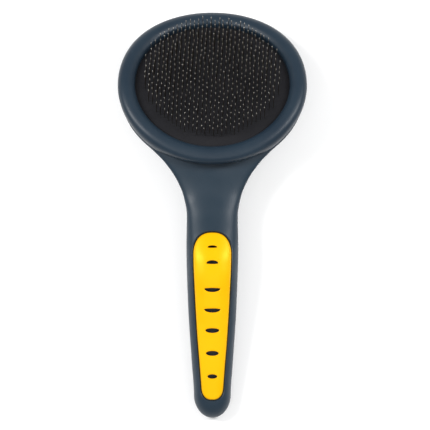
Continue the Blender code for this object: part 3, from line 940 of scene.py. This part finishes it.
def tube(line, glints, points, faces, tip_glints):
    """Round wire along a line, with chamfered ends; the last argument takes each point's painted tip
    highlight.
    """
    across = Vector((1, 0, 0))
    first = len(points)
    rings = []
    for i, spot in enumerate(line):
        ahead = line[min(i + 1, len(line) - 1)] - line[max(i - 1, 0)]
        side = ahead.cross(across).normalized()
        flat = side.cross(ahead).normalized()
        rings.append((spot, flat, side, WIRE_RADIUS))
    for end, inner in ((0, 1), (-1, -2)):
        spot, flat, side, _ = rings[end]
        back = (line[inner] - line[end]).normalized() * WIRE_RADIUS * CHAMFER_LENGTH
        rings[end] = (spot, flat, side, WIRE_RADIUS * CHAMFER_RADIUS)
        extra = (spot + back, flat, side, WIRE_RADIUS)
        rings.insert(1 if end == 0 else len(rings) - 1, extra)
    for number, (spot, flat, side, radius) in enumerate(rings):
        # The points at both ends get the painted tip highlight, the rest none
        bright = glints[0] if number < 2 else glints[1] if number > len(rings) - 3 else 0.0
        for k in range(WIRE_SIDES):
            angle = 2 * pi * k / WIRE_SIDES
            points.append(spot + radius * (cos(angle) * flat + sin(angle) * side))
            tip_glints.append(bright)
    for number in range(len(rings) - 1):
        low = first + number * WIRE_SIDES
        for k in range(WIRE_SIDES):
            j = (k + 1) % WIRE_SIDES
            faces.append([low + k, low + j, low + WIRE_SIDES + j, low + WIRE_SIDES + k])
    faces.append([first + k for k in reversed(range(WIRE_SIDES))])
    last = first + (len(rings) - 1) * WIRE_SIDES
    faces.append([last + k for k in range(WIRE_SIDES)])


def make_pin_column(column, material, chance):
    """One column of U wires: each holds two neighbouring pins by a crown under the sheet."""
    across, places = pin_places(column)
    points, faces, tip_glints = [], [], []
    legs = [leg(across, place_s, chance) for place_s in places]
    for i in range(0, len(legs), 2):
        pair = legs[i:i + 2]
        if len(pair) == 2:
            line = list(reversed(pair[0])) + pair[1]
        else:
            x, s, h = pair[0][0]
            line = [(x, s - LONE_CROWN, h)] + pair[0]
        spots = [turned(*spot) for spot in line]
        # A painted highlight of random strength for each of the wire's two tips
        glints = (chance.uniform(*TIP_GLINT), chance.uniform(*TIP_GLINT))
        tube(spots, glints, points, faces, tip_glints)
    piece = make_mesh(f"pin_wires_{column + 1:02d}", points, faces, WIRE_SHARP_ANGLE)
    # The "tip" attribute carries each point's painted highlight
    mark = piece.data.attributes.new("tip", "FLOAT", "POINT")
    mark.data.foreach_set("value", tip_glints)
    place(piece, material, "wire", f"pin_column_{column + 1:02d}")


# Floor, lights and camera

def make_stage():
    """Pale floor that the brush lies on, with a faint glow that keeps its shadows light."""
    bpy.ops.mesh.primitive_circle_add(vertices=96, radius=FLOOR_RADIUS, fill_type="NGON",
                                      location=(0, 0, -FLOOR_GAP))
    floor = bpy.context.active_object
    floor.name = "floor"
    material, _, shader = new_material("floor_white", (0.95, 0.95, 0.95), 0.9, specular=0.1)
    shader.inputs["Emission Color"].default_value = (1, 1, 1, 1)
    shader.inputs["Emission Strength"].default_value = FLOOR_GLOW
    floor.data.materials.append(material)


def add_light(name, spot, size, power):
    """Soft rectangular light aimed at the middle of the floor under the brush."""
    data = bpy.data.lights.new(name, "AREA")
    data.shape = "RECTANGLE"
    data.size, data.size_y = size
    data.energy = power
    light = bpy.data.objects.new(name, data)
    light.location = spot
    light.rotation_mode = "QUATERNION"
    light.rotation_quaternion = (-Vector(spot)).to_track_quat("-Z", "Y")
    bpy.context.scene.collection.objects.link(light)


def make_lights():
    """Pale surroundings, a tall softbox on each side and a broad one high over the handle's end."""
    world = bpy.data.worlds.new("studio")
    world.use_nodes = True
    world.node_tree.nodes["Background"].inputs["Color"].default_value = (1, 1, 1, 1)
    world.node_tree.nodes["Background"].inputs["Strength"].default_value = WORLD_STRENGTH
    bpy.context.scene.world = world
    for name, spot, size, power in LIGHTS:
        add_light(name, spot, size, power)
    bpy.context.scene.view_settings.view_transform = "Standard"


def make_camera():
    """Long lens square to the handle's front, with the brush upright in the picture."""
    data = bpy.data.cameras.new("camera")
    data.sensor_width = SENSOR_WIDTH
    data.lens = SENSOR_WIDTH * CAMERA_DISTANCE / SEEN_WIDTH
    data.clip_start = 0.1
    data.clip_end = 50.0
    camera = bpy.data.objects.new("camera", data)
    out = Vector((0, -sin(REST_ANGLE), cos(REST_ANGLE)))
    camera.location = handle_point(*CAMERA_AIM) + out * CAMERA_DISTANCE
    camera.rotation_mode = "QUATERNION"
    camera.rotation_quaternion = (-out).to_track_quat("-Z", "Y")
    bpy.context.scene.collection.objects.link(camera)
    bpy.context.scene.camera = camera


def main():
    body = body_material()
    inner = frame_material()
    make_rear_cover(body)
    make_front_cover(body)
    make_thumb_grip(grip_material())
    make_head_rim(rim_material())
    make_pad(sheet_material(), foam_material())
    wire = wire_material()
    chance = random.Random(SEED)
    for column in range(COLUMNS):
        make_pin_column(column, wire, chance)
    for name in ("core_frame", "pad_plate"):
        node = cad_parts[name]
        node.data.materials.clear()
        node.data.materials.append(inner)
    make_stage()
    make_lights()
    make_camera()


main()
